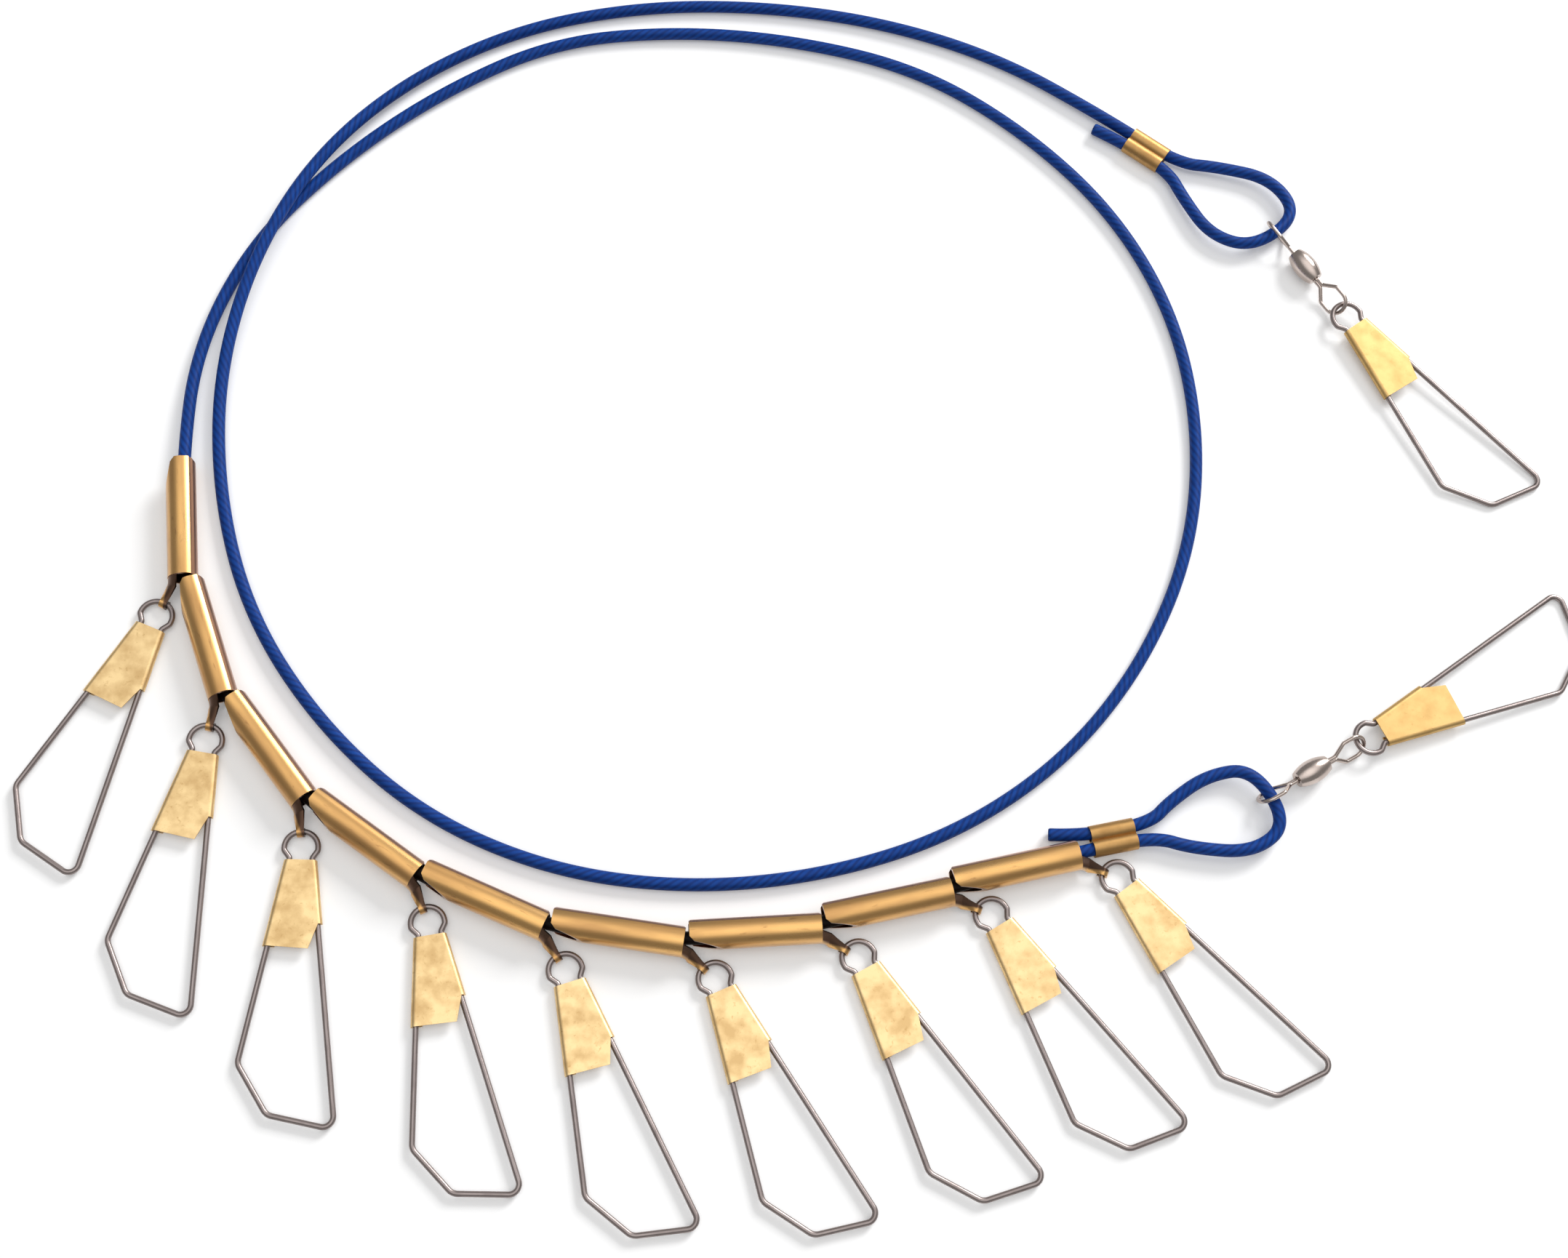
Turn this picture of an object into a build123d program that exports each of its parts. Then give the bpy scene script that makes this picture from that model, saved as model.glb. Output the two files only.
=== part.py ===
from build123d import *
import os
from math import cos, radians, sin, tan

# A cable fish stringer laid flat: a coated steel cable with a crimped loop at each end,
# nine rolled brass sleeves threaded on it, and a wire snap on each sleeve's hooked tail.
# Two more snaps hang from barrel swivels on the end loops.
# Millimetres, +Z up. It lies on z = 0, with the origin under the middle of its metal pieces.

# Cable
cable_diameter = 3.2
cable_fit = 0.05
bend_share = 0.45

# Sleeve rolled from brass sheet with a lapped seam: angles run from its inner side over the top
sleeve_length = 31.35
sleeve_diameter = 7.8
sleeve_sheet = 0.4
seam_edge_angle = 52.0
seam_join_angle = -40.0
under_layer_start_angle = -62.0
under_layer_end_angle = 104.0
seam_corner_cut = 1.1
tail_room_depth = 2.8
tail_room_knee = (1.1, 1.7)
tail_room_length = 8.0
sleeve_gap = 0.3
sleeve_least_gap = 1.0
cable_height_in_sleeves = 3.2
row_start = (-159.0, 42.1)
row_headings = (-84.4, -70.5, -52.6, -36.0, -23.8, -8.5, 3.4, 12.2, 12.6)
row_steps = (1.3, 1.4, 1.4, 1.4, 1.4, 1.6, 2.2, 2.1)

# Hooked tail of a sleeve
tail_flare = 33.0
tail_ahead = 5.3
tail_out = 5.2
tail_tip_width = 1.8
tail_middle_width = 3.8
tail_middle_share = 0.42
tail_middle_bulge = 0.7
tail_tip_bulge = 0.15
tail_root_top_angle = 112.0
tail_root_bottom_angle = 236.0
tail_root_overlap = 0.6
hook_wrap = 228.0
hook_fit = 0.3
floor_gap = 0.05

# Snap: a folded brass plate on a spring wire that has an eye above it and a bail below
snap_wire = 1.4
plate_sheet = 0.4
plate_fit = 0.06
plate_top_width = 7.84
plate_left_length = 20.7
plate_left_lean = 9.2
plate_right_length = 15.2
plate_right_lean = 9.1
plate_tongue_length = 21.2
plate_tongue_place = 3.5
plate_notch = 0.9
fold_lip = 1.5
full_fold_angle = 90.0
latch_fold_angle = 52.0
eye_radius = 4.0
eye_height = 3.05
eye_shift = -0.15
eye_kink_height = 2.5
eye_leg_rise = 0.6
eye_bend_radius = 1.0
eye_leg_length = 6.0
bail_end_depth = 7.6
bail_corner_depth = 48.1
bail_foot_place = -2.9
bail_foot_depth = 59.6
bail_depth = 62.7
bail_corner_radius = 2.3
bail_foot_radius = 3.0
pivot_gap = 0.12
snap_turns = (-22.8, -9.9, -1.2, 10.0, 17.6, 23.4, 28.4, 30.9, 36.1)

# Barrel swivel
swivel_wire = 1.05
barrel_length = 9.0
barrel_diameter = 6.0
barrel_end_diameter = 3.9
barrel_wall = 0.6
stem_diameter = 1.5
stem_fit = 0.2
head_diameter = 3.2
head_length = 1.2
head_gap = 0.3
neck_start = 0.3
neck_spread = 0.45
neck_length = 2.5
ring_length = 9.2
ring_width = 7.0
ring_shoulder = 3.0
swivel_height = 3.3
loop_ring_roll = 62.0
snap_ring_roll = 50.0
loop_reach = 8.1
link_fit = 0.35
end_snap_pitch = 2.05

# Crimped ferrules, and where the swivels cross the end loops: lengths ahead and to the left
ferrule_length = 11.0
ferrule_wall = 0.55
ferrule_pitch = 3.5
loop_lead = 3.2
stub_lead = 1.2
upper_place = (92.4, 139.55)
upper_heading = -36.2
upper_height = 2.2
upper_exit = 10.4
upper_crossing = (36.3, -0.3)
upper_swivel_heading = -55.9
upper_snap_turn = 35.2
lower_ahead = 4.4
lower_shift = 0.55
lower_heading = 11.6
lower_height = 2.7
lower_exit = 3.8
lower_crossing = (35.4, 2.6)
lower_swivel_heading = 29.3
lower_snap_turn = 115.8

# The cable's route, chosen by hand. A stub is its end's length behind the ferrule, side and
# height. The loops run from the stub's side to the main cable's: length ahead of the ferrule,
# side and height. The free run is in the drawing's own frame.
upper_stub = (9.8, -2.9, 1.9)
lower_stub = (9.6, 4.1, 1.65)
upper_loop = ((10.5, -6.4, 2.5), (22.5, -11.8, 2.9), (34.0, -8.2, 3.3), (38.6, 7.6, 3.3),
              (27.0, 13.4, 2.9), (13.0, 7.6, 2.5))
lower_loop = ((10.5, 5.9, 2.7), (21.5, 10.6, 3.0), (33.2, 10.0, 3.3), (37.7, -5.1, 3.3),
              (27.5, -10.4, 3.0), (13.0, -6.4, 2.7))
free_run = ((53.1, 168.2, 1.6), (21.2, 178.9, 1.6), (-12.1, 183.1, 1.6),
            (-45.7, 181.9, 1.6), (-78.4, 173.8, 1.6), (-107.4, 156.7, 4.4), (-129.9, 131.6, 8.0),
            (-144.8, 101.5, 8.0), (-152.0, 68.6, 4.4), (-149.7, 34.9, 1.6), (-140.2, 2.6, 1.6),
            (-121.5, -25.4, 1.6), (-96.4, -47.8, 1.6), (-65.5, -61.5, 1.6), (-32.1, -66.1, 1.6),
            (1.4, -62.9, 1.6), (33.4, -52.4, 1.6), (61.3, -33.5, 1.6), (82.6, -7.4, 1.6),
            (96.6, 23.3, 1.6), (101.1, 56.7, 1.6), (96.7, 90.1, 1.6), (82.2, 120.4, 1.6),
            (59.1, 145.1, 1.6), (31.0, 163.7, 1.6), (-1.6, 172.1, 1.6), (-35.2, 174.3, 1.6),
            (-68.6, 169.8, 1.6), (-98.2, 153.6, 1.6), (-124.1, 132.2, 1.6), (-145.8, 106.4, 1.6),
            (-158.2, 75.2, 1.7))

origin_shift = (-1.79, 0.5)
overrun = 1.0
round_share = 0.98

# Sizes that follow
cable_radius = cable_diameter / 2
sleeve_radius = sleeve_diameter / 2
wire_radius = snap_wire / 2
wire_height = floor_gap + sleeve_sheet + hook_fit + wire_radius
fold_inner = wire_radius + plate_fit
fold_outer = fold_inner + plate_sheet
lobe_radius = cable_radius + cable_fit + ferrule_wall
ferrule_side = ferrule_pitch / 2
ferrule_half = ferrule_length / 2


def ahead(start, heading, length, side=0.0):
    """The point a length ahead of another one, and a step to its left."""
    turn = radians(heading)
    return (start[0] + length * cos(turn) - side * sin(turn),
            start[1] + length * sin(turn) + side * cos(turn))


def placed(shape, point, height, heading):
    """A shape modelled along +X, set at a point and height and turned to a heading."""
    return Pos(point[0], point[1], height) * Rot(0, 0, heading) * shape


def halfway(a, b):
    return tuple((p + q) / 2 for p, q in zip(a, b))


def bend_radii(points, reaches):
    """One radius for each corner, from how far its arc reaches along the runs: a share of the
    shorter run, or less where a straight lead is kept."""
    corners = [Vector(*point) for point in points]
    radii = []
    for before, corner, after, point in zip(corners, corners[1:], corners[2:], points[1:]):
        turn = (corner - before).get_angle(after - corner)
        reach = bend_share * min((corner - before).length, (after - corner).length)
        radii.append(min(reach, reaches.get(point, reach)) / tan(radians(turn) / 2))
    return radii


def round_wire(points, radii, diameter):
    """A round wire or cable along straight runs joined by tangent arcs."""
    path = FilletPolyline([Vector(*point) for point in points], radius=radii)
    start = Plane(origin=path @ 0, z_dir=path % 0)
    return sweep(start * Circle(diameter / 2), path=path)


def ring_sector(inner, outer, start_angle, end_angle):
    """A flat slice of a ring between two angles."""
    turn = end_angle - start_angle
    rim = CenterArc((0, 0), outer, start_angle, turn)
    bore = CenterArc((0, 0), inner, start_angle, turn)
    return make_face([rim, bore, Line(rim @ 0, bore @ 0), Line(rim @ 1, bore @ 1)])


def strip_section(origin, width_direction, way, width, bulge):
    """Cross-section of the tail's sheet: a strip of the given width, arched outward."""
    over = ThreePointArc((-width / 2, 0), (0, bulge), (width / 2, 0))
    under = ThreePointArc((-width / 2, -sleeve_sheet), (0, bulge - sleeve_sheet), (width / 2, -sleeve_sheet))
    flat = make_face([over, under, Line(over @ 0, under @ 0), Line(over @ 1, under @ 1)])
    return Plane(origin=origin, x_dir=width_direction, z_dir=way) * flat


def sleeve_tail():
    """The tail: sheet that leaves the sleeve's outer side, flares, and curls round the snap's eye."""
    flare = radians(tail_flare)
    way = Vector(cos(flare), -sin(flare), 0)
    across = Vector(sin(flare), cos(flare), 0)
    wire = Vector(sleeve_length + tail_ahead, -tail_out, wire_height - sleeve_radius)
    curl_inner = wire_radius + hook_fit
    curl_outer = curl_inner + sleeve_sheet

    half_angle = radians(tail_root_bottom_angle - tail_root_top_angle) / 2
    root_angle = radians(tail_root_bottom_angle + tail_root_top_angle) / 2
    outward = Vector(0, cos(root_angle), sin(root_angle))
    root_width = Vector(0, outward.Z, -outward.Y)
    chord_place = Vector(sleeve_length - tail_root_overlap, 0, 0) + outward * sleeve_radius * cos(half_angle)
    root_bulge = sleeve_radius * (1 - cos(half_angle))
    root = strip_section(chord_place, root_width, Vector(1, 0, 0), 2 * sleeve_radius * sin(half_angle), root_bulge)

    tip_place = wire + Vector(0, 0, curl_outer)
    tip = strip_section(tip_place, across, way, tail_tip_width, tail_tip_bulge)

    waist_place = chord_place + (tip_place - chord_place) * tail_middle_share
    waist_way = (Vector(1, 0, 0) + way).normalized()
    waist_width = (root_width + across).normalized()
    waist_width = (waist_width - waist_way * waist_width.dot(waist_way)).normalized()
    waist = strip_section(waist_place, waist_width, waist_way, tail_middle_width, tail_middle_bulge)

    blade = loft([root, waist, tip], ruled=True)
    curl_plane = Plane(origin=wire, x_dir=way, z_dir=-across)
    curl = curl_plane * ring_sector(curl_inner, curl_outer, 90 - hook_wrap, 90)
    return blade + extrude(curl, tail_tip_width / 2, both=True)


def tail_room():
    """What is cut from the outer side of a sleeve's start, where the last sleeve's tail passes."""
    knee, knee_depth = tail_room_knee
    beyond = -sleeve_radius - overrun
    outline = Polygon((-overrun, beyond), (tail_room_length, beyond), (tail_room_length, -sleeve_radius),
                      (knee, knee_depth - sleeve_radius), (0, tail_room_depth - sleeve_radius),
                      (-overrun, tail_room_depth - sleeve_radius), align=None)
    return extrude(Plane.XY.offset(-sleeve_radius) * outline, sleeve_diameter)


def sleeve():
    """One sleeve along +X from its start: rolled sheet, its lapped seam along the inner side."""
    lap_radius = sleeve_radius - sleeve_sheet
    outer_layer = ring_sector(lap_radius, sleeve_radius, seam_edge_angle, 360 + seam_join_angle)
    under_layer = ring_sector(lap_radius - sleeve_sheet, lap_radius,
                              under_layer_start_angle, under_layer_end_angle)
    tube = extrude(Plane.YZ * (outer_layer + under_layer), sleeve_length)
    corner = Polygon((-overrun, sleeve_radius - seam_corner_cut - overrun), (seam_corner_cut, sleeve_radius),
                     (seam_corner_cut, sleeve_radius + overrun), (-overrun, sleeve_radius + overrun), align=None)
    wedge_height = sleeve_radius * (1 + sin(radians(seam_edge_angle)))
    wedge = extrude(Plane.XY.offset(-sleeve_radius) * corner, wedge_height)
    tube -= wedge
    tube -= mirror(wedge, Plane.YZ.offset(sleeve_length / 2))
    tube -= tail_room()
    return tube + sleeve_tail()


def fold_line(side, lean, depth):
    """The point of a folded edge's wire line at a depth below the plate's top edge."""
    inset = fold_outer / cos(radians(lean))
    return (side * (plate_top_width / 2 - inset + depth * tan(radians(lean))), -depth, 0)


def left_line(depth):
    return fold_line(-1, plate_left_lean, depth)


def right_line(depth):
    return fold_line(1, plate_right_lean, depth)


def folded_edge(lean, length, closed_angle, lip):
    """A right edge's fold round the wire: it turns from the plate's top down to an angle below."""
    slope = radians(lean)
    fold = ring_sector(fold_inner, fold_outer, -closed_angle, 90)
    if lip:
        fold += Pos(-lip / 2, -fold_inner - plate_sheet / 2) * Rectangle(lip, plate_sheet)
    plane = Plane(origin=fold_line(1, lean, -overrun), x_dir=(cos(slope), sin(slope), 0),
                  z_dir=(sin(slope), -cos(slope), 0))
    bar = extrude(plane * fold, (length + 2 * overrun) / cos(slope))
    keep = Pos(0, -length / 2) * Box(4 * plate_top_width, length, 4 * fold_outer)
    return bar & keep


def clip_plate():
    """The plate: flat sheet over the wire, a full fold on its left and a latching fold on its right."""
    notch = right_line(plate_right_length)
    step = fold_outer - plate_notch
    outline = Polygon(left_line(0)[:2], left_line(plate_left_length)[:2],
                      (plate_tongue_place, -plate_tongue_length), (notch[0] + step, notch[1]),
                      notch[:2], right_line(0)[:2], align=None)
    sheet = extrude(Plane.XY.offset(fold_inner) * outline, plate_sheet)
    left_fold = mirror(folded_edge(plate_left_lean, plate_left_length, full_fold_angle, fold_lip), Plane.YZ)
    right_fold = folded_edge(plate_right_lean, plate_right_length, latch_fold_angle, 0)
    return sheet + left_fold + right_fold


def eye_wire():
    """The wire's upper stretch: from above the pivot, round the eye, to its end in the right fold."""
    left = eye_shift - eye_radius
    right = eye_shift + eye_radius
    top = eye_height + eye_radius
    points = [left_line(plate_left_length - wire_radius - pivot_gap), left_line(-eye_leg_rise),
              (left, eye_kink_height, 0), (left, top, 0), (right, top, 0), (right, eye_kink_height, 0),
              right_line(-eye_leg_rise), right_line(eye_leg_length)]
    crown = eye_radius * round_share
    radii = [eye_bend_radius, eye_bend_radius, crown, crown, eye_bend_radius, eye_bend_radius]
    return round_wire(points, radii, snap_wire)


def bail():
    """The wire's lower stretch: from its pivot in the left fold to its end in the right fold."""
    pivot = left_line(plate_left_length)
    points = [pivot, left_line(bail_corner_depth), (bail_foot_place, -bail_foot_depth, 0),
              right_line(bail_depth), right_line(bail_end_depth)]
    wire = round_wire(points, [bail_foot_radius, bail_foot_radius, bail_corner_radius], snap_wire)
    return wire + Pos(*pivot) * Sphere(wire_radius)


def swivel_ring():
    """A swivel ring along +X from the barrel's end: wire loop, stem, and the head kept inside."""
    half = (ring_width - swivel_wire) / 2
    far = neck_length + ring_length - swivel_wire / 2
    shoulder = neck_length + ring_shoulder
    points = [(neck_start, neck_spread, 0), (neck_length, neck_spread, 0), (shoulder, half, 0),
              (far, half, 0), (far, 0, 0)]
    strand = round_wire(points, [swivel_wire, swivel_wire, half * round_share], swivel_wire)
    loop = strand + mirror(strand, Plane.XZ)
    inside = barrel_wall + head_gap
    from_start = (Align.CENTER, Align.CENTER, Align.MIN)
    stem = Pos(-inside, 0) * Rot(0, 90, 0) * Cylinder(stem_diameter / 2, inside + 2 * neck_start, align=from_start)
    head = Pos(-inside, 0) * Rot(0, -90, 0) * Cylinder(head_diameter / 2, head_length, align=from_start)
    return loop + stem + head


def swivel_barrel():
    """The hollow barrel along X, closed round both stems."""
    half = barrel_length / 2
    inner_half = half - barrel_wall
    rim = barrel_end_diameter / 2
    inner_rim = rim - barrel_wall / 2
    crown = barrel_diameter / 2
    bore = stem_diameter / 2 + stem_fit
    outline = [ThreePointArc((-half, rim), (0, crown), (half, rim)),
               Polyline((half, rim), (half, bore), (inner_half, bore), (inner_half, inner_rim)),
               ThreePointArc((inner_half, inner_rim), (0, crown - barrel_wall), (-inner_half, inner_rim)),
               Polyline((-inner_half, inner_rim), (-inner_half, bore), (-half, bore), (-half, rim))]
    return revolve(make_face(Curve() + outline), Axis.X)


def ferrule():
    """A double-barrelled crimp along X round two runs of the cable."""
    lobes = Locations((ferrule_side, 0), (-ferrule_side, 0)).locations
    outline = Sketch() + [place * Circle(lobe_radius) for place in lobes]
    outline -= [place * Circle(cable_radius + cable_fit) for place in lobes]
    return Pos(-ferrule_half, 0) * extrude(Plane.YZ * outline, ferrule_length)


def end_route(centre, heading, height, stub, loop, main_side, leave):
    """One end's route: stub, ferrule, round the loop, ferrule again and away. The reaches keep
    the cable straight inside the ferrule."""
    def at(length, side, z):
        return (*ahead(centre, heading, length, side), z)

    stub_length, stub_side, stub_height = stub
    knee = at(-ferrule_half - stub_lead, -main_side * ferrule_side, height)
    out = at(ferrule_half + loop_lead, -main_side * ferrule_side, height)
    back = at(ferrule_half + loop_lead, main_side * ferrule_side, height)
    away = at(-ferrule_half - leave, main_side * ferrule_side, height)
    turned = [at(ferrule_half + length, side, z) for length, side, z in loop]
    points = [at(-ferrule_half - stub_length, stub_side, stub_height), knee, out, *turned, back, away]
    return points, {knee: stub_lead, out: loop_lead, back: loop_lead, away: leave}


def sleeve_row():
    """The start and heading of each sleeve: each follows the last one's end, a step inward."""
    row = [(row_start, row_headings[0])]
    for heading, step in zip(row_headings[1:], row_steps):
        start, last = row[-1]
        end = ahead(start, last, sleeve_length)
        gap = sleeve_gap + 2 * sleeve_radius * tan(radians(heading - last) / 2)
        row.append((ahead(end, (heading + last) / 2, max(gap, sleeve_least_gap), step), heading))
    return row


def row_route(row):
    """The cable's points along the sleeves: the row's start, and outside each joint by as much
    as the bend there comes back in."""
    points = [row_start]
    for (start, heading), (following_start, following) in zip(row, row[1:]):
        joint = halfway(ahead(start, heading, sleeve_length), following_start)
        push = bend_share * sleeve_length * tan(radians(following - heading) / 4)
        points.append(ahead(joint, (heading + following) / 2, 0, -push))
    return [(*point, cable_height_in_sleeves) for point in points]


def cut_route(route, radii, places):
    """Cuts the route in the middle of the runs after the named points."""
    stretches = []
    first = 0
    start = route[0]
    for place in places:
        end = halfway(route[place], route[place + 1])
        stretches.append(([start, *route[first + 1:place + 1], end], radii[first:place]))
        first = place
        start = end
    stretches.append(([start, *route[first + 1:]], radii[first:]))
    return stretches


def snap_location(link, pull, turn):
    """Where a flat snap's frame lies when its eye hangs on a link that pulls it along a heading."""
    centre = ahead(link, pull, eye_radius)
    corner = ahead(centre, turn, -eye_shift, -eye_height)
    return Pos(*corner, wire_height) * Rot(0, 0, turn)


def tipped(location, link, heading, lift, angle):
    """A location raised, and tipped down about the level line across a heading at the link."""
    pivot = Pos(*link, wire_height) * Rot(0, 0, heading)
    return Pos(0, 0, lift) * pivot * Rot(0, angle, 0) * pivot.inverse() * location


def add_snap(nodes, name, location):
    nodes["clip_plate_" + name] = location * clip_plate()
    nodes["eye_wire_" + name] = location * eye_wire()
    nodes["bail_" + name] = location * bail()


def add_swivel_and_snap(nodes, name, crossing, heading, turn):
    """A swivel hooked on the end loop at the crossing, and the snap hooked on its other ring."""
    barrel = ahead(crossing, heading, loop_reach + barrel_length / 2)
    far_end = ahead(barrel, heading, barrel_length / 2)
    near_end = ahead(barrel, heading, -barrel_length / 2)
    nodes["loop_ring_" + name] = placed(Rot(loop_ring_roll, 0, 0) * swivel_ring(), near_end,
                                        swivel_height, heading + 180)
    nodes["swivel_barrel_" + name] = placed(swivel_barrel(), barrel, swivel_height, heading)
    nodes["snap_ring_" + name] = placed(Rot(snap_ring_roll, 0, 0) * swivel_ring(), far_end,
                                        swivel_height, heading)
    tip = neck_length + ring_length - swivel_wire / 2
    link = ahead(far_end, heading, tip - swivel_wire / 2 - wire_radius - link_fit)
    flat = snap_location(link, heading, turn)
    add_snap(nodes, name, tipped(flat, link, heading, swivel_height - wire_height, end_snap_pitch))
    return barrel, link


def build_all():
    nodes = {}
    row = sleeve_row()
    last_start, last_heading = row[-1]
    lower_place = ahead(last_start, last_heading, sleeve_length + lower_ahead + ferrule_half,
                        ferrule_side + lower_shift)
    upper, upper_reaches = end_route(upper_place, upper_heading, upper_height, upper_stub, upper_loop,
                                     1, upper_exit)
    lower, lower_reaches = end_route(lower_place, lower_heading, lower_height, lower_stub, lower_loop,
                                     -1, lower_exit)
    sleeves = row_route(row)
    route = [*upper, *free_run, *sleeves, *reversed(lower)]
    radii = bend_radii(route, {**upper_reaches, **lower_reaches})
    cuts = [len(upper) - 1, len(upper) + len(free_run) - 1, len(route) - len(lower) - 1]
    names = ("cable_loop_upper", "cable_free_run", "cable_in_sleeves", "cable_loop_lower")
    length = 0
    for name, (points, bends) in zip(names, cut_route(route, radii, cuts)):
        nodes[name] = round_wire(points, bends, cable_diameter)
        length += nodes[name].volume / (Circle(cable_radius).area)
        print(name, "radii", [round(radius, 1) for radius in bends])
    print("cable length", round(length, 1))

    nodes["ferrule_upper"] = placed(ferrule(), upper_place, upper_height, upper_heading)
    nodes["ferrule_lower"] = placed(ferrule(), lower_place, lower_height, lower_heading)
    for number, ((start, heading), turn) in enumerate(zip(row, snap_turns), 1):
        nodes[f"sleeve_{number}"] = placed(sleeve(), start, sleeve_radius, heading)
        hook = ahead(start, heading, sleeve_length + tail_ahead, -tail_out)
        add_snap(nodes, str(number), snap_location(hook, heading - tail_flare, turn))

    upper_link = ahead(ahead(upper_place, upper_heading, ferrule_half), upper_heading, *upper_crossing)
    lower_link = ahead(ahead(lower_place, lower_heading, ferrule_half), lower_heading, *lower_crossing)
    add_swivel_and_snap(nodes, "upper", upper_link, upper_swivel_heading, upper_snap_turn)
    add_swivel_and_snap(nodes, "lower", lower_link, lower_swivel_heading, lower_snap_turn)
    return nodes


os.makedirs("parts", exist_ok=True)
pieces = {name: Pos(*origin_shift) * piece for name, piece in build_all().items()}
for piece_name, piece in pieces.items():
    export_step(piece, f"parts/{piece_name}.step")
hardware = Compound([piece for name, piece in pieces.items() if not name.startswith("cable")]).bounding_box()
print("pieces", len(pieces))
print("middle of the metal pieces", hardware.center())
print("their lowest point", hardware.min.Z)
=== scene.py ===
from math import cos, pi, radians, sin

import bmesh
import bpy
from mathutils import Matrix, Vector


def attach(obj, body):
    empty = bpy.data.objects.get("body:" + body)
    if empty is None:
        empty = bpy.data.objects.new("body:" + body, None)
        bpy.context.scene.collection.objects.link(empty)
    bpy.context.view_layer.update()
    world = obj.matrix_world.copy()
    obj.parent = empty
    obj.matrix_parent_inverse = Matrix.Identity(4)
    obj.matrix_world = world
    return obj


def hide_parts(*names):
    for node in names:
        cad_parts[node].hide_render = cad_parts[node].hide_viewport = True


# The looks of a cable fish stringer: blue coated cable, rolled brass sleeves, folded brass
# plates on spring wire, and plated barrel swivels. Metres and degrees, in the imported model's frame.

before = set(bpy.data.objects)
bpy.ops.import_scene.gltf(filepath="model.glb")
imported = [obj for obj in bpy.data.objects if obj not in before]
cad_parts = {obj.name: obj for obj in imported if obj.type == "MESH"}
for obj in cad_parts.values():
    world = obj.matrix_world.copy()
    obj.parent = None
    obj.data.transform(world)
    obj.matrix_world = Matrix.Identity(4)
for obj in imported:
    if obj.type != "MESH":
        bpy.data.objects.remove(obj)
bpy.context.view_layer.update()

# Camera: it looks down on the coil, tipped towards the heading of the far side. The lens and
# sensor are in millimetres.
camera_target = (-0.0096, 0.0011, 0.0)
camera_tilt = 20.0
camera_far_side = 80.0
camera_distance = 0.560
camera_clip_start = 0.01
camera_lens = 51.4
camera_sensor = 36.0

# Cable: the row's stretch is where along it the sleeves start and end; there the cable is painted near
# black as shade. Each pair of rounding shares is a share of the rounding's depth and the share of the radius
# there.
cable_diameter = 0.0032
cable_segments = 20
cable_strands = 6
cable_lay = 0.014
row_stretch = (1.238, 1.528)
cable_end_rounding = 0.0004
end_rounding_shares = ((0.0, 0.78), (0.25, 0.91), (1.0, 1.0))
cable_uv = "cable"
curve_order = 3
curve_resolution = 24

# Cable coating
coating_roughness = 0.5
coating_specular = 0.14
cloud_scale = 350.0
cloud_range = (0.0, 0.8)
strand_range = (-1.0, 0.6)
strand_depth = 0.0001
strand_bump = 0.1

# Sleeves: each one's start and heading, as the solids have them
sleeve_radius = 0.0039
sleeve_sheet = 0.0004
sleeve_length = 0.03135
seam_place = 0.0024
seam_width = 0.00016
# The tail's slope, middle and softness place the painted shade on its inward side.
tail_slope = 0.31
tail_middle = 0.0001
tail_soft = 0.0005
sleeve_starts = ((-0.16079, 0.0426), (-0.15619, 0.01046), (-0.14377, -0.01977), (-0.12272, -0.04467),
                 (-0.09567, -0.06245), (-0.06531, -0.07413), (-0.03312, -0.07722), (-0.00113, -0.07304),
                 (0.03004, -0.06415))
sleeve_headings = (-84.4, -70.5, -52.6, -36.0, -23.8, -8.5, 3.4, 12.2, 12.6)
sleeve_stretch = 5.0
sleeve_coat = 1.0
sleeve_coat_roughness = 0.35

# Patina on the metals: how fine each layer is, and the part of its noise that shows
blotch_scale = 230.0
blotch_range = (0.38, 0.68)
blotch_roughness = 0.12
speck_scale = 900.0
speck_range = (0.60, 0.72)
scratch_scale = 3000.0
scratch_depth = 0.00002

# Floor: how far it reaches from the middle on each side, its look, and its lift where it is seen
floor_reach = 3.0
floor_grey = 0.85
floor_roughness = 0.9
floor_specular = 0.1
floor_lift = 0.17

# Light: one lamp, and a tent that brightens from its sides to its top over a range of heights
lamp_place = (1.36, 1.62, 1.32)
lamp_target = (0.0, 0.0, 0.0)
lamp_size = 0.9
lamp_power = 52.0
tent_side = 0.3
tent_top = 1.6
tent_range = (0.72, 0.97)
white = (1.0, 1.0, 1.0, 1.0)

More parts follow.
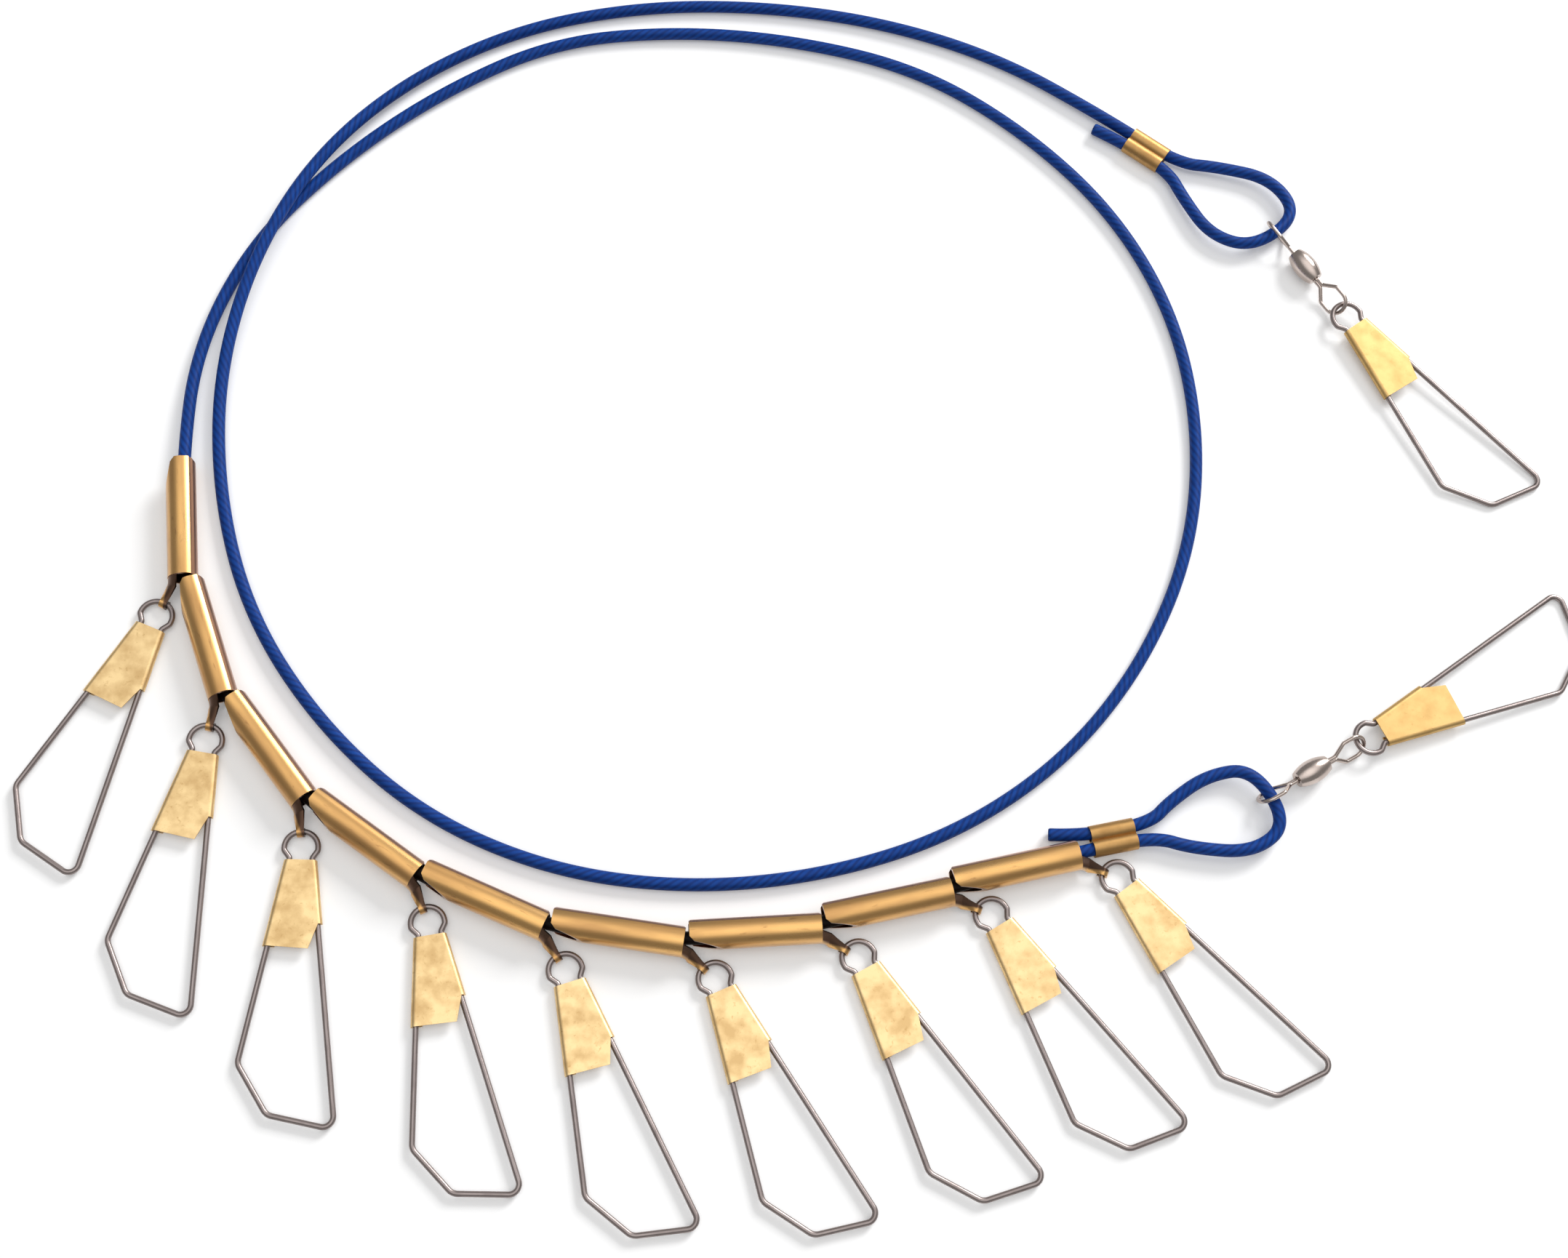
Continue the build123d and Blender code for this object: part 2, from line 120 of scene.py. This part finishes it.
# The cable's route, which follows the solids' own, from the cut end at the far loop to the other
cable_route = (
    (0.0765, 0.1467, 0.0019), (0.0842, 0.1425, 0.0022), (0.0965, 0.1334, 0.0022),
    (0.0997, 0.1255, 0.0025), (0.1062, 0.1139, 0.0029), (0.1176, 0.1101, 0.0033),
    (0.1307, 0.1201, 0.0033), (0.1247, 0.1316, 0.0029), (0.1100, 0.1352, 0.0025),
    (0.0987, 0.1363, 0.0022), (0.0789, 0.1508, 0.0022), (0.0513, 0.1686, 0.0016),
    (0.0195, 0.1793, 0.0016), (-0.0138, 0.1835, 0.0016), (-0.0475, 0.1823, 0.0016),
    (-0.0801, 0.1742, 0.0016), (-0.1091, 0.1571, 0.0022), (-0.1316, 0.1321, 0.0048),
    (-0.1465, 0.1019, 0.0048), (-0.1537, 0.0691, 0.0022), (-0.1515, 0.0353, 0.0016),
    (-0.1419, 0.0032, 0.0016), (-0.1232, -0.0248, 0.0016), (-0.0982, -0.0473, 0.0016),
    (-0.0673, -0.0611, 0.0016), (-0.0339, -0.0656, 0.0016), (-0.0004, -0.0623, 0.0016),
    (0.0316, -0.0519, 0.0016), (0.0595, -0.0330, 0.0016), (0.0808, -0.0070, 0.0016),
    (0.0949, 0.0239, 0.0016), (0.0993, 0.0573, 0.0016), (0.0949, 0.0905, 0.0016),
    (0.0804, 0.1209, 0.0016), (0.0573, 0.1455, 0.0016), (0.0293, 0.1641, 0.0016),
    (-0.0034, 0.1725, 0.0016), (-0.0370, 0.1747, 0.0016), (-0.0703, 0.1704, 0.0016),
    (-0.0999, 0.1540, 0.0016), (-0.1258, 0.1326, 0.0016), (-0.1475, 0.1069, 0.0016),
    (-0.1599, 0.0757, 0.0017), (-0.1607, 0.0427, 0.0032), (-0.1578, 0.0107, 0.0032),
    (-0.1457, -0.0199, 0.0032), (-0.1245, -0.0454, 0.0032), (-0.0969, -0.0635, 0.0032),
    (-0.0665, -0.0756, 0.0032), (-0.0338, -0.0788, 0.0032), (-0.0015, -0.0748, 0.0032),
    (0.0298, -0.0654, 0.0032), (0.0611, -0.0565, 0.0027), (0.0798, -0.0525, 0.0027),
    (0.0892, -0.0554, 0.0027), (0.1042, -0.0565, 0.0030), (0.1132, -0.0492, 0.0033),
    (0.1056, -0.0353, 0.0033), (0.0941, -0.0370, 0.0030), (0.0842, -0.0439, 0.0027),
    (0.0793, -0.0491, 0.0027), (0.0629, -0.0525, 0.0027), (0.0541, -0.0519, 0.0016))


# Shader nodes


def linear(red, green, blue):
    """A screen colour, 0 to 255, as the linear colour that shaders take."""
    def channel(value):
        value /= 255
        return value / 12.92 if value <= 0.04045 else ((value + 0.055) / 1.055) ** 2.4
    return (channel(red), channel(green), channel(blue), 1.0)


def turn_to(heading):
    return (0.0, 0.0, radians(heading))


def feed(tree, node, values):
    """Gives each of a node's inputs its value: another node's output, or a plain one."""
    for key, value in values.items():
        if isinstance(value, bpy.types.NodeSocket):
            tree.links.new(value, node.inputs[key])
        else:
            node.inputs[key].default_value = value


def calculate(tree, operation, *values):
    node = tree.nodes.new("ShaderNodeMath")
    node.operation = operation
    feed(tree, node, dict(enumerate(values)))
    return node.outputs[0]


def split(tree, vector):
    node = tree.nodes.new("ShaderNodeSeparateXYZ")
    feed(tree, node, {"Vector": vector})
    return node.outputs


def noise(tree, place, scale, detail, roughness=0.5, distortion=0.0):
    node = tree.nodes.new("ShaderNodeTexNoise")
    feed(tree, node, {"Vector": place, "Scale": scale, "Detail": detail,
                      "Roughness": roughness, "Distortion": distortion})
    return node.outputs["Fac"]


def remap(tree, value, old_range, new_range=(0.0, 1.0)):
    """A value moved from one range to another, and held at the new one's ends."""
    node = tree.nodes.new("ShaderNodeMapRange")
    feed(tree, node, {"Value": value, "From Min": old_range[0], "From Max": old_range[1],
                      "To Min": new_range[0], "To Max": new_range[1]})
    return node.outputs["Result"]


def mix_colours(tree, share, first, second):
    node = tree.nodes.new("ShaderNodeMix")
    node.data_type = "RGBA"
    feed(tree, node, {"Factor": share, "A": first, "B": second})
    return node.outputs["Result"]


def own_frame(tree, values):
    """Object coordinates as seen from a frame with the given Location, Rotation or Scale."""
    where = tree.nodes.new("ShaderNodeTexCoord")
    node = tree.nodes.new("ShaderNodeMapping")
    node.vector_type = "TEXTURE"
    feed(tree, node, {"Vector": where.outputs["Object"], **values})
    return node.outputs["Vector"]


def use_group(tree, group, values):
    node = tree.nodes.new("ShaderNodeGroup")
    node.node_tree = group
    feed(tree, node, values)
    return node.outputs


# Shared shader groups


def new_group(name, inputs, outputs):
    """An empty shader group with its sockets, what it is given, and the node for its results."""
    group = bpy.data.node_groups.new(name, "ShaderNodeTree")
    for side, sockets in (("INPUT", inputs), ("OUTPUT", outputs)):
        for socket_name, kind in sockets.items():
            group.interface.new_socket(socket_name, in_out=side, socket_type=f"NodeSocket{kind}")
    return group, group.nodes.new("NodeGroupInput").outputs, group.nodes.new("NodeGroupOutput")


def aged_metal_group():
    """Bare metal with a patina: soft blotches, small dark specks and fine scratches."""
    group, given, results = new_group(
        "aged_metal",
        {"Colour": "Color", "Stain": "Color", "Blotches": "Float", "Specks": "Float",
         "Roughness": "Float", "Turn": "Vector", "Stretch": "Vector"},
        {"Colour": "Color", "Roughness": "Float", "Height": "Float"})
    place = own_frame(group, {"Rotation": given["Turn"], "Scale": given["Stretch"]})

    blotch = remap(group, noise(group, place, blotch_scale, detail=4.0), blotch_range)
    blotch_share = calculate(group, "MULTIPLY", blotch, given["Blotches"])
    blotched = mix_colours(group, blotch_share, given["Colour"], given["Stain"])
    dulled = calculate(group, "MULTIPLY_ADD", blotch, blotch_roughness, given["Roughness"])

    grain = noise(group, place, speck_scale, detail=4.0, roughness=0.6, distortion=0.4)
    speck_share = calculate(group, "MULTIPLY", remap(group, grain, speck_range), given["Specks"])
    specked = mix_colours(group, speck_share, blotched, given["Stain"])

    scratches = noise(group, place, scratch_scale, detail=2.0, roughness=0.7)
    feed(group, results, {"Colour": specked, "Roughness": dulled, "Height": scratches})
    return group


def sleeve_zones_group():
    """Masks in a sleeve's own frame: its under layer and inside, its seam, and its tail's inward side, for
    painted shade.
    """
    group, given, results = new_group(
        "sleeve_zones", {"Start": "Vector", "Turn": "Vector"},
        {"Under": "Float", "Seam": "Float", "Tail Painted Shade": "Float"})
    place = own_frame(group, {"Location": given["Start"], "Rotation": given["Turn"]})
    along, inward, height = split(group, place)

    squares = [calculate(group, "MULTIPLY", value, value) for value in (inward, height)]
    radius = calculate(group, "SQRT", calculate(group, "ADD", *squares))
    under = calculate(group, "LESS_THAN", radius, sleeve_radius - sleeve_sheet / 2)
    on_sleeve = calculate(group, "LESS_THAN", along, sleeve_length)

    from_seam = calculate(group, "ABSOLUTE", calculate(group, "SUBTRACT", inward, seam_place))
    near_seam = remap(group, from_seam, (seam_width, 0.0))
    upper = calculate(group, "GREATER_THAN", height, 0.0)

    # The tail's inward side, past the sleeve's end: the mask for its painted shade
    past_end = calculate(group, "SUBTRACT", along, sleeve_length)
    from_edge = calculate(group, "ADD", inward, sleeve_radius)
    from_middle = calculate(group, "ADD", from_edge, calculate(group, "MULTIPLY", past_end, tail_slope))
    painted_shade_side = remap(group, from_middle, (tail_middle, tail_middle + tail_soft))
    on_tail = calculate(group, "GREATER_THAN", along, sleeve_length)

    feed(group, results, {"Under": calculate(group, "MULTIPLY", under, on_sleeve),
                          "Seam": calculate(group, "MULTIPLY", near_seam, upper),
                          "Tail Painted Shade": calculate(group, "MULTIPLY", painted_shade_side, on_tail)})
    return group


def lay_stripes_group():
    """Masks on a cable's own UV map: the strands under its coating, and its stretch in the row, where shade
    is painted.
    """
    group, given, results = new_group(
        "lay_stripes", {"Strands": "Float", "Lay": "Float", "Row Start": "Float", "Row End": "Float"},
        {"Mask": "Float", "Row Painted Shade": "Float"})
    place = group.nodes.new("ShaderNodeUVMap")
    place.uv_map = cable_uv
    turn, along, _ = split(group, place.outputs["UV"])
    wound = calculate(group, "ADD", turn, calculate(group, "DIVIDE", along, given["Lay"]))
    phase = calculate(group, "MULTIPLY", wound, given["Strands"])
    wave = calculate(group, "SINE", calculate(group, "MULTIPLY", phase, 2 * pi))
    # The row's stretch, where the cable gets painted shade
    after_start = calculate(group, "GREATER_THAN", along, given["Row Start"])
    before_end = calculate(group, "LESS_THAN", along, given["Row End"])
    feed(group, results, {"Mask": remap(group, wave, strand_range),
                          "Row Painted Shade": calculate(group, "MULTIPLY", after_start, before_end)})
    return group


aged_metal = aged_metal_group()
lay_stripes = lay_stripes_group()
sleeve_zones = sleeve_zones_group()


# Materials


def new_material(name):
    material = bpy.data.materials.new(name)
    material.use_nodes = True
    return material, material.node_tree, material.node_tree.nodes["Principled BSDF"]


def add_bump(tree, shader, height, strength, distance):
    bump = tree.nodes.new("ShaderNodeBump")
    feed(tree, bump, {"Height": height, "Strength": strength, "Distance": distance})
    feed(tree, shader, {"Normal": bump.outputs["Normal"]})


def metal(name, colour, stain, blotches, specks, roughness, scratches, heading=0.0, stretch=1.0):
    """Bare metal with the shared patina, at its own strength, drawn out along a heading."""
    material, tree, shader = new_material(name)
    aged = use_group(tree, aged_metal, {
        "Colour": colour, "Stain": stain, "Blotches": blotches, "Specks": specks,
        "Roughness": roughness, "Turn": turn_to(heading), "Stretch": (stretch, 1.0, 1.0)})
    feed(tree, shader, {"Metallic": 1.0, "Base Color": aged["Colour"], "Roughness": aged["Roughness"]})
    add_bump(tree, shader, aged["Height"], scratches, scratch_depth)
    return material


def rolled_brass(number, start, heading):
    """One sleeve's brass, with its under layer and seam darker, and painted shade on its tail's inward side.
    """
    material = metal(f"rolled_brass_{number}", colour=linear(220, 170, 98), stain=linear(140, 88, 38),
                     blotches=0.42, specks=0.5, roughness=0.27, scratches=0.2,
                     heading=heading, stretch=sleeve_stretch)
    tree = material.node_tree
    shader = tree.nodes["Principled BSDF"]
    zones = use_group(tree, sleeve_zones, {"Start": (*start, sleeve_radius), "Turn": turn_to(heading)})
    colour = shader.inputs["Base Color"].links[0].from_socket
    # The last tint, dark brown on the tail's inward side, is painted shade
    for zone, tint in (("Under", linear(172, 122, 88)), ("Seam", linear(84, 50, 26)),
                       ("Tail Painted Shade", linear(88, 54, 26))):
        colour = mix_colours(tree, zones[zone], colour, tint)
    feed(tree, shader, {"Base Color": colour, "Coat Weight": sleeve_coat,
                        "Coat Roughness": sleeve_coat_roughness})
    return material


def cable_material():
    """Blue coating over twisted strands, painted near black as shade where the cable runs in the row of
    sleeves.
    """
    material, tree, shader = new_material("blue_coating")
    stripes = use_group(tree, lay_stripes, {"Strands": cable_strands, "Lay": cable_lay,
                                            "Row Start": row_stretch[0], "Row End": row_stretch[1]})
    place = tree.nodes.new("ShaderNodeTexCoord").outputs["Object"]
    cloudy = calculate(tree, "MULTIPLY", stripes["Mask"], noise(tree, place, cloud_scale, detail=3.0))
    blue = mix_colours(tree, remap(tree, cloudy, cloud_range), linear(10, 46, 112), linear(16, 70, 154))
    # Painted shade: near black where the cable runs in the row of sleeves
    shaded = mix_colours(tree, stripes["Row Painted Shade"], blue, linear(24, 14, 10))
    feed(tree, shader, {"Base Color": shaded, "Roughness": coating_roughness,
                        "Specular IOR Level": coating_specular})
    add_bump(tree, shader, stripes["Mask"], strand_bump, strand_depth)
    return material


plate_brass = metal("pressed_brass", colour=linear(240, 210, 156), stain=linear(184, 142, 84),
                    blotches=0.5, specks=0.5, roughness=0.38, scratches=0.3)
# A darker copy of the plate brass for the end plates: painted shade that damps the lamp's bright reflection
# on the upper one
shaded_plate_brass = metal("shaded_pressed_brass", colour=linear(206, 172, 114), stain=linear(166, 128, 74),
                           blotches=0.35, specks=0.3, roughness=0.42, scratches=0.3)
ferrule_brass = metal("crimped_brass", colour=linear(186, 146, 92), stain=linear(140, 104, 62),
                      blotches=0.35, specks=0.2, roughness=0.4, scratches=0.4)
spring_wire = metal("spring_wire", colour=linear(152, 141, 138), stain=linear(104, 92, 90),
                    blotches=0.3, specks=0.2, roughness=0.32, scratches=0.2)
swivel_nickel = metal("plated_swivel", colour=linear(196, 182, 174), stain=linear(138, 122, 114),
                      blotches=0.2, specks=0.15, roughness=0.2, scratches=0.1)
blue_coating = cable_material()

# Each finish, by how the names of its pieces start. The two end plates come after the plates in
# the row, so that theirs is the one that stays: a darker copy of the plate brass, as painted shade.
finish_of = {"clip_plate": plate_brass, "clip_plate_upper": shaded_plate_brass,
             "clip_plate_lower": shaded_plate_brass, "eye_wire": spring_wire, "bail": spring_wire,
             "ferrule": ferrule_brass, "loop_ring": swivel_nickel, "swivel_barrel": swivel_nickel,
             "snap_ring": swivel_nickel}
for number, (start, heading) in enumerate(zip(sleeve_starts, sleeve_headings), 1):
    finish_of[f"sleeve_{number}"] = rolled_brass(number, start, heading)

for node_name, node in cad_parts.items():
    for start_of_name, material in finish_of.items():
        if node_name.startswith(start_of_name):
            node.data.materials.clear()
            node.data.materials.append(material)


# The cable: a tube that follows a smooth line through its route


def smooth_line(name, route):
    """The points of one smooth curve that the route's points guide."""
    curve = bpy.data.curves.new(name, "CURVE")
    curve.dimensions = "3D"
    curve.resolution_u = curve_resolution
    spline = curve.splines.new("NURBS")
    spline.points.add(len(route) - 1)
    for point, place in zip(spline.points, route):
        point.co = (*place, 1.0)
    spline.order_u = curve_order
    spline.use_endpoint_u = True
    holder = bpy.data.objects.new(name, curve)
    bpy.context.collection.objects.link(holder)
    mesh = bpy.data.meshes.new_from_object(holder)
    points = [vertex.co.copy() for vertex in mesh.vertices]
    bpy.data.objects.remove(holder)
    bpy.data.meshes.remove(mesh)
    bpy.data.curves.remove(curve)
    return points


def carried_frames(points):
    """For each point its place and turn: Z along the line, with no twist about it."""
    frames = []
    side = None
    for number, point in enumerate(points):
        before = points[max(number - 1, 0)]
        after = points[min(number + 1, len(points) - 1)]
        way = (after - before).normalized()
        if side is None:
            side = way.orthogonal()
        side = (side - way * side.dot(way)).normalized()
        across = way.cross(side)
        frames.append(Matrix((side, across, way)).transposed().to_4x4())
        frames[-1].translation = point
    return frames


def tube_piece(name, points, radii, segments, uv_name, material):
    """A closed tube along the points, with a radius at each. Its UV map goes round and along it."""
    tube = bmesh.new()
    uv = tube.loops.layers.uv.new(uv_name)
    rings = []
    along = [0.0]
    for number, (place, radius) in enumerate(zip(carried_frames(points), radii)):
        ring = bmesh.ops.create_circle(tube, segments=segments, radius=radius, matrix=place)["verts"]
        rings.append(ring)
        if number:
            along.append(along[-1] + (points[number] - points[number - 1]).length)
    for number in range(1, len(rings)):
        for corner in range(segments):
            following = (corner + 1) % segments
            face = tube.faces.new((rings[number - 1][corner], rings[number - 1][following],
                                   rings[number][following], rings[number][corner]))
            face.smooth = True
            places = ((corner, number - 1), (corner + 1, number - 1), (corner + 1, number), (corner, number))
            for loop, (turn, step) in zip(face.loops, places):
                loop[uv].uv = (turn / segments, along[step])
    tube.faces.new(list(reversed(rings[0])))
    tube.faces.new(rings[-1])
    bmesh.ops.recalc_face_normals(tube, faces=tube.faces[:])
    mesh = bpy.data.meshes.new(name)
    tube.to_mesh(mesh)
    tube.free()
    piece = bpy.data.objects.new(name, mesh)
    bpy.context.collection.objects.link(piece)
    mesh.materials.append(material)
    return piece


def rounded_end(points, radius):
    """More points and radii at a tube's start, that round its rim."""
    way = (points[1] - points[0]).normalized()
    rim = [points[0] + way * cable_end_rounding * share for share, _ in end_rounding_shares]
    return rim, [radius * share for _, share in end_rounding_shares]


cable_line = smooth_line("cable_line", cable_route)
near_rim, near_radii = rounded_end(cable_line, cable_diameter / 2)
far_rim, far_radii = rounded_end(cable_line[::-1], cable_diameter / 2)
tube_line = near_rim + cable_line[1:-1] + far_rim[::-1]
tube_radii = near_radii + [cable_diameter / 2] * (len(cable_line) - 2) + far_radii[::-1]
cable = tube_piece("cable", tube_line, tube_radii, cable_segments, cable_uv, blue_coating)
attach(cable, "root")
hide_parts("cable_loop_upper", "cable_free_run", "cable_in_sleeves", "cable_loop_lower")


# Floor, light and camera


def floor_material():
    """A pale floor that keeps the object's shadow. A faint glow lifts it towards white where it is
    seen, and lights nothing else."""
    material, tree, shader = new_material("white_floor")
    rays = tree.nodes.new("ShaderNodeLightPath").outputs
    seen = rays["Is Camera Ray"]
    for kind in ("Is Glossy Ray", "Is Transmission Ray"):
        seen = calculate(tree, "MAXIMUM", seen, rays[kind])
    feed(tree, shader, {"Base Color": (floor_grey, floor_grey, floor_grey, 1.0),
                        "Roughness": floor_roughness, "Specular IOR Level": floor_specular,
                        "Emission Color": white,
                        "Emission Strength": remap(tree, seen, (0.0, 1.0), (0.0, floor_lift))})
    return material


def add_floor():
    plate = bmesh.new()
    bmesh.ops.create_grid(plate, x_segments=1, y_segments=1, size=floor_reach)
    mesh = bpy.data.meshes.new("floor")
    plate.to_mesh(mesh)
    plate.free()
    floor = bpy.data.objects.new("floor", mesh)
    bpy.context.collection.objects.link(floor)
    mesh.materials.append(floor_material())


def add_lamp():
    lamp = bpy.data.lights.new("key", "AREA")
    lamp.size = lamp_size
    lamp.energy = lamp_power
    holder = bpy.data.objects.new("key", lamp)
    holder.location = lamp_place
    holder.rotation_euler = (Vector(lamp_target) - Vector(lamp_place)).to_track_quat("-Z", "Y").to_euler()
    bpy.context.collection.objects.link(holder)


def set_world():
    """A tent: grey at its sides and bright overhead."""
    world = bpy.data.worlds.new("surroundings")
    world.use_nodes = True
    tree = world.node_tree
    direction = tree.nodes.new("ShaderNodeTexCoord").outputs["Generated"]
    _, _, height = split(tree, direction)
    strength = remap(tree, height, tent_range, (tent_side, tent_top))
    feed(tree, tree.nodes["Background"], {"Color": white, "Strength": strength})
    bpy.context.scene.world = world


def add_camera():
    """A camera above the near side, turned so that +X is to the right in its picture and +Y is up."""
    turn = radians(camera_far_side)
    tilt = radians(camera_tilt)
    far = Vector((cos(turn), sin(turn), 0.0))
    level = Vector((-far.y, far.x, 0.0))
    view = far * sin(tilt) - Vector((0.0, 0.0, cos(tilt)))
    top = far * cos(tilt) + Vector((0.0, 0.0, sin(tilt)))
    right = top * cos(turn) - level * sin(turn)
    up = top * sin(turn) + level * cos(turn)
    data = bpy.data.cameras.new("camera")
    data.lens = camera_lens
    data.sensor_width = camera_sensor
    data.clip_start = camera_clip_start
    camera = bpy.data.objects.new("camera", data)
    camera.matrix_world = Matrix.Translation(Vector(camera_target) - view * camera_distance) @ \
        Matrix((right, up, -view)).transposed().to_4x4()
    bpy.context.collection.objects.link(camera)
    bpy.context.scene.camera = camera


add_floor()
set_world()
add_lamp()
add_camera()
bpy.context.scene.view_settings.view_transform = "Standard"
